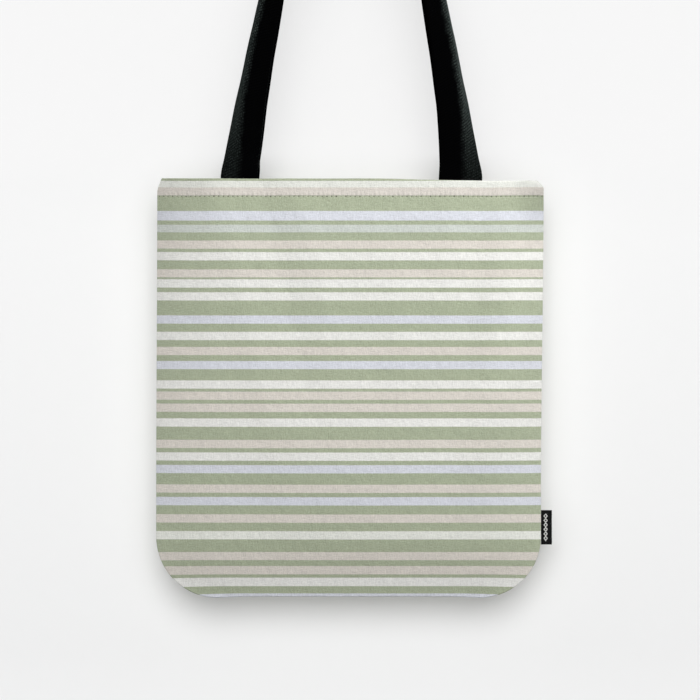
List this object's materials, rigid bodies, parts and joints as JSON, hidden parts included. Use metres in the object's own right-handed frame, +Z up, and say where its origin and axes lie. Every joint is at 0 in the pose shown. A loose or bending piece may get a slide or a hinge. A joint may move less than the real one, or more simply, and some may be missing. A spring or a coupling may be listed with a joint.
{
  "type": "canvas tote bag",
  "caption": "Flat canvas tote bag with rounded bottom corners, a turned-in hem, black webbing handles that fold down and a woven side label.",
  "frame": {"origin": "the point under the top of both handles where a peg, hook or hand bears; the bag hangs below it", "axes": "+Z up, +X along the bag's width towards the side label, -Y out of the front panel"},
  "size_m": [0.3939, 0.0876, 0.6937],
  "materials": {
    "printed_canvas": "woven canvas with printed horizontal stripes in sage, cream, beige, pale blue and mint",
    "raw_canvas": "unprinted off-white woven canvas",
    "sewing_thread": "twisted polyester thread",
    "black_webbing": "black herringbone cotton webbing, matte with a faint sheen",
    "black_thread": "black twisted thread",
    "label_weave": "black satin-woven tape with a plain pale motif"
  },
  "bodies": {
    "bag": {"front_panel": "printed_canvas", "back_panel": "printed_canvas", "seam_allowance": "raw_canvas", "seam_thread": "sewing_thread", "overlock_thread": "sewing_thread", "front_hem_thread": "sewing_thread", "back_hem_thread": "sewing_thread", "front_left_strap_end": "black_webbing", "front_right_strap_end": "black_webbing", "back_left_strap_end": "black_webbing", "back_right_strap_end": "black_webbing", "front_left_box_stitch": "black_thread", "front_right_box_stitch": "black_thread", "back_left_box_stitch": "black_thread", "back_right_box_stitch": "black_thread"},
    "front_handle": {"front_handle": "black_webbing"},
    "back_handle": {"back_handle": "black_webbing"},
    "label": {"side_label": "label_weave"}
  },
  "joints": [
    {"name": "front_handle_fold", "type": "hinge", "parent": "bag", "child": "front_handle", "pos_m": [0, -0.0284, -0.279], "axis": [1, 0, 0], "range_deg": [0, 170]},
    {"name": "back_handle_fold", "type": "hinge", "parent": "bag", "child": "back_handle", "pos_m": [0, 0.0284, -0.279], "axis": [-1, 0, 0], "range_deg": [0, 170]},
    {"name": "label_flap", "type": "hinge", "parent": "bag", "child": "label", "pos_m": [0.1916, 0, -0.622], "axis": [0, 0, 1], "range_deg": [-80, 80], "stiffness_Nm_per_rad": 0.0005}
  ]
}
